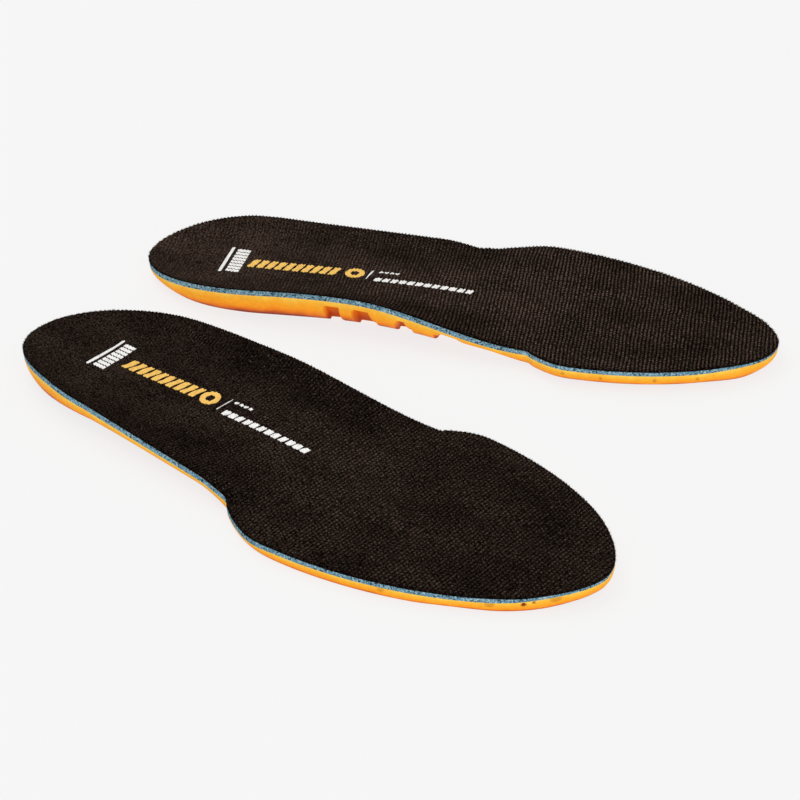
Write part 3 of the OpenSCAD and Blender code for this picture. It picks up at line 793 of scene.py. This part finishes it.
class Paint:
    """A material's node tree, built by calls. A value given to a node is a number, a colour, a
    vector, or another node's output."""

    def __init__(self, name, **settings):
        self.material = bpy.data.materials.new(name)
        self.material.use_nodes = True
        self.tree = self.material.node_tree
        self.tree.nodes.clear()
        self.shader = self.tree.nodes.new("ShaderNodeBsdfPrincipled")
        self.feed(self.shader, settings)
        output = self.tree.nodes.new("ShaderNodeOutputMaterial")
        self.tree.links.new(self.shader.outputs[0], output.inputs["Surface"])

    def feed(self, node, values):
        for key, value in values.items():
            socket = node.inputs[key]
            if isinstance(value, bpy.types.NodeSocket):
                self.tree.links.new(value, socket)
            else:
                socket.default_value = value

    def node(self, kind, values, output=0, **settings):
        made = self.tree.nodes.new("ShaderNode" + kind)
        for key, value in settings.items():
            setattr(made, key, value)
        self.feed(made, values)
        return made.outputs[output]

    def math(self, operation, a, b=0.0, clamp=False):
        return self.node("Math", {0: a, 1: b}, operation=operation, use_clamp=clamp)

    def place(self, name="local"):
        return self.node("Attribute", {}, "Vector", attribute_name=name)

    def number(self, name):
        return self.node("Attribute", {}, "Fac", attribute_name=name)

    def scaled(self, place, x, y, z):
        return self.node("VectorMath", {0: place, 1: (x, y, z)}, operation="MULTIPLY")

    def noise(self, place, scale, detail=2.0, rough=0.5):
        return self.node("TexNoise", {"Vector": place, "Scale": scale, "Detail": detail, "Roughness": rough})

    def ramp(self, value, low, high, start=0.0, end=1.0):
        return self.node("MapRange", {"Value": value, "From Min": low, "From Max": high,
                                      "To Min": start, "To Max": end})

    def mix(self, share, a, b, blend="MIX"):
        made = self.tree.nodes.new("ShaderNodeMix")
        made.data_type = "RGBA"
        made.blend_type = blend
        self.feed(made, {0: share, 6: a, 7: b})
        return made.outputs[2]

    def bump(self, height, distance, strength):
        return self.node("Bump", {"Height": height, "Distance": distance, "Strength": strength})

    def done(self, values):
        self.feed(self.shader, values)
        return self.material


def cover_paint():
    p = Paint("knit_cover", Roughness=1.0)
    place = p.place()
    split = p.tree.nodes.new("ShaderNodeSeparateXYZ")
    p.tree.links.new(place, split.inputs[0])
    phase = p.number("phase")
    # Painted shade: crest and loops paint the knit darker in the grooves between its ribs and in the gaps
    # between its loops
    crest = p.ramp(p.math("COSINE", p.math("MULTIPLY", phase, 2 * math.pi)), -1.0, 1.0)
    shift = p.math("MULTIPLY", p.math("FLOOR", p.math("ADD", phase, 0.5)), math.pi)
    uneven = p.ramp(p.noise(place, 0.55, 2.0, 0.6), 0.3, 0.7, -LOOP_WANDER, LOOP_WANDER)
    along = p.math("ADD", p.math("MULTIPLY", split.outputs[1], 2 * math.pi / LOOP_PITCH), shift)
    along = p.math("ADD", along, uneven)
    loops = p.ramp(p.math("COSINE", along), -0.9, 0.9, 0.1, 1.0)
    grain = p.ramp(p.noise(place, 1.25, 2.0, 0.6), 0.4, 0.62)
    fibres = p.ramp(p.noise(place, 2.4, 2.0, 0.7), 0.36, 0.68)
    patches = p.ramp(p.noise(p.scaled(place, 1.0, 1.8, 0.0), 0.03, 2.0, 0.5), 0.34, 0.66, 0.7, 1.3)
    knit = p.math("MULTIPLY", p.ramp(crest, 0.2, 0.95, 0.08, 1.0), loops)
    plain = p.math("MULTIPLY", p.math("SUBTRACT", 1.0, p.number("ribbed")), 0.36)
    cells = p.math("ADD", p.math("MULTIPLY", knit, p.number("ribbed")), plain)
    yarn = p.math("ADD", p.math("MULTIPLY", grain, 0.8), p.math("MULTIPLY", fibres, 0.2))
    tone = p.math("MULTIPLY", cells, yarn)
    tone = p.math("MULTIPLY", tone, p.math("MULTIPLY", patches, p.number("lit")), clamp=True)
    colour = p.mix(tone, srgb(2, 1, 1), srgb(120, 99, 86))
    specks = p.ramp(p.noise(place, 1.6, 0.0), 0.76, 0.82)
    colour = p.mix(p.math("MULTIPLY", specks, 0.45), colour, srgb(128, 116, 106))
    colour = p.mix(p.math("MULTIPLY", p.number("cut"), 0.75), colour, srgb(6, 3, 3))
    height = p.math("ADD", p.math("MULTIPLY", cells, 0.6), p.math("MULTIPLY", grain, 0.4))
    normal = p.bump(height, 0.0005, 0.8)
    return p.done({"Base Color": colour, "Normal": normal, "Specular IOR Level": 0.0})


def nap_paint():
    p = Paint("knit_nap", Roughness=1.0)
    tone = p.ramp(p.noise(p.place(), 0.7, 1.0), 0.38, 0.64)
    colour = p.mix(tone, srgb(8, 4, 3), srgb(74, 60, 51))
    return p.done({"Base Color": colour, "Specular IOR Level": 0.0})


def foam_paint():
    p = Paint("cushion_foam", Roughness=0.9)
    place = p.place()
    cells = p.node("TexVoronoi", {"Vector": place, "Scale": 1.7, "Randomness": 1.0}, "Distance")
    dark = p.ramp(p.noise(place, 1.1, 2.0, 0.6), 0.53, 0.6)
    light = p.ramp(p.noise(place, 1.2, 1.0, 0.5), 0.52, 0.62)
    tint = p.noise(place, 0.12, 1.0)
    colour = p.mix(p.ramp(tint, 0.35, 0.65), srgb(98, 144, 166), srgb(118, 160, 180))
    colour = p.mix(p.math("MULTIPLY", light, 0.8), colour, srgb(176, 208, 218))
    colour = p.mix(p.math("MULTIPLY", dark, 0.85), colour, srgb(20, 34, 44))
    normal = p.bump(cells, 0.0004, 0.8)
    return p.done({"Base Color": colour, "Normal": normal, "Specular IOR Level": 0.0})


def base_paint():
    p = Paint("moulded_base", Roughness=0.48)
    place = p.place()
    # Painted shade: the orange darkens from pale yellow-orange at the wall's top to deep red-brown at its
    # bottom, with deeper painted shade in the arch's recess
    down = p.number("down")
    ramp = p.tree.nodes.new("ShaderNodeValToRGB")
    wander = p.ramp(p.noise(place, 0.09, 2.0), 0.3, 0.7, -0.07, 0.07)
    p.tree.links.new(p.math("ADD", down, wander), ramp.inputs[0])
    stops = ((0.0, srgb(255, 208, 86)), (0.1, srgb(255, 190, 64)), (0.24, srgb(255, 175, 48)),
             (0.42, srgb(254, 162, 38)), (0.56, srgb(244, 134, 28)), (0.68, srgb(212, 96, 16)),
             (0.8, srgb(166, 52, 8)), (1.0, srgb(104, 24, 4)))
    elements = ramp.color_ramp.elements
    elements[0].position, elements[0].color = stops[0]
    elements[1].position, elements[1].color = stops[-1]
    for position, colour in stops[1:-1]:
        elements.new(position).color = colour
    inside = p.ramp(down, RECESS_TOP, RECESS_TOP + 0.08)
    deep = p.mix(p.ramp(down, 0.2, 0.8), srgb(240, 132, 30), srgb(196, 72, 8))
    shaded = p.math("MULTIPLY", p.math("MULTIPLY", p.number("hollow"), inside), 0.85)
    colour = p.mix(shaded, ramp.outputs[0], deep)
    # Darker in the small moulding marks of the forefoot's edge, where the wall is dented in
    colour = p.mix(p.math("MULTIPLY", p.number("vent_dark"), 0.95), colour, srgb(112, 16, 10))
    mottle = p.ramp(p.noise(place, 0.5, 3.0, 0.6), 0.35, 0.65, 0.93, 1.05)
    colour = p.mix(1.0, colour, mottle, "MULTIPLY")
    skin = p.noise(place, 3.5, 2.0, 0.6)
    rough = p.ramp(p.noise(place, 0.8, 2.0), 0.3, 0.7, 0.42, 0.56)
    normal = p.bump(skin, 0.0002, 0.25)
    return p.done({"Base Color": colour, "Roughness": rough, "Normal": normal, "Specular IOR Level": 0.02})


def ink_paint(name, main, worn):
    p = Paint(name, Roughness=0.6)
    place = p.place()
    wear = p.ramp(p.noise(place, 2.2, 3.0, 0.7), 0.56, 0.7)
    tint = p.ramp(p.noise(place, 0.6, 2.0), 0.35, 0.65)
    colour = p.mix(p.math("MULTIPLY", tint, 0.35), main, worn)
    colour = p.mix(p.math("MULTIPLY", wear, 0.55), colour, srgb(70, 58, 44))
    return p.done({"Base Color": colour, "Normal": p.bump(p.noise(place, 3.0, 2.0), 0.0002, 0.5)})


def floor_paint():
    """A pale floor with light of its own, as a light table has, so that it takes only a faint shadow."""
    p = Paint("studio_floor", Roughness=0.9)
    glow = {"Emission Color": (1, 1, 1, 1), "Emission Strength": 0.79}
    return p.done({"Base Color": (0.13, 0.13, 0.13, 1), "Specular IOR Level": 0.0, **glow})


MATERIALS = {
    "cover": cover_paint(),
    "nap": nap_paint(),
    "foam": foam_paint(),
    "base": base_paint(),
    "white_print": ink_paint("white_print", srgb(252, 251, 248), srgb(228, 225, 218)),
    "yellow_print": ink_paint("yellow_print", srgb(252, 202, 96), srgb(236, 180, 76)),
    "floor": floor_paint(),
}


# ---------------------------------------------------------------------------------------------
# Camera, floor and light
CAMERA_ELEVATION, CAMERA_DISTANCE, LENS, SENSOR = 33.77, 0.847, 92.03, 36
CAMERA_TARGET = Vector((-0.0009, 0.0027, 0))
FLOOR_HALF, FLOOR_Z = 4.0, -0.00005


def camera():
    data = bpy.data.cameras.new("camera")
    data.lens, data.sensor_width = LENS, SENSOR
    data.clip_start, data.clip_end = 0.01, 20
    obj = bpy.data.objects.new("camera", data)
    bpy.context.scene.collection.objects.link(obj)
    a = math.radians(CAMERA_ELEVATION)
    back = Vector((0, -math.cos(a), math.sin(a)))
    obj.location = CAMERA_TARGET + back * CAMERA_DISTANCE
    obj.rotation_euler = (-back).to_track_quat("-Z", "Y").to_euler()
    bpy.context.scene.camera = obj


def area_light(name, place, size, power):
    data = bpy.data.lights.new(name, "AREA")
    data.shape = "SQUARE"
    data.size, data.energy = size, power
    obj = bpy.data.objects.new(name, data)
    bpy.context.scene.collection.objects.link(obj)
    obj.location = place
    obj.rotation_euler = (-Vector(place)).to_track_quat("-Z", "Y").to_euler()


def studio():
    world = bpy.data.worlds.new("studio")
    bpy.context.scene.world = world
    world.use_nodes = True
    background = world.node_tree.nodes["Background"]
    background.inputs["Color"].default_value = (1, 1, 1, 1)
    background.inputs["Strength"].default_value = 0.62
    area_light("key", (-0.5, 0.55, 1.5), 1.2, 10)
    area_light("front", (0.4, -1.5, 0.75), 1.0, 9)
    mesh = bpy.data.meshes.new("floor")
    signs = ((-1, -1), (1, -1), (1, 1), (-1, 1))
    corners = [(FLOOR_HALF * across_x, FLOOR_HALF * across_y, FLOOR_Z) for across_x, across_y in signs]
    mesh.from_pydata(corners, [], [(0, 1, 2, 3)])
    floor = bpy.data.objects.new("floor", mesh)
    bpy.context.scene.collection.objects.link(floor)
    mesh.materials.append(MATERIALS["floor"])
    bpy.context.scene.view_settings.view_transform = "Standard"


camera()
studio()
for foot_name in ("right", "left"):
    one = Foot(foot_name)
    foam(one)
    cover(one)
    nap(one)
    base(one)
    cones(one, HEEL_POCKET, foot_name + "_heel_cones", one.rear)
    cones(one, BALL_POCKET, foot_name + "_ball_cones", one.forefoot)
    marks(one)
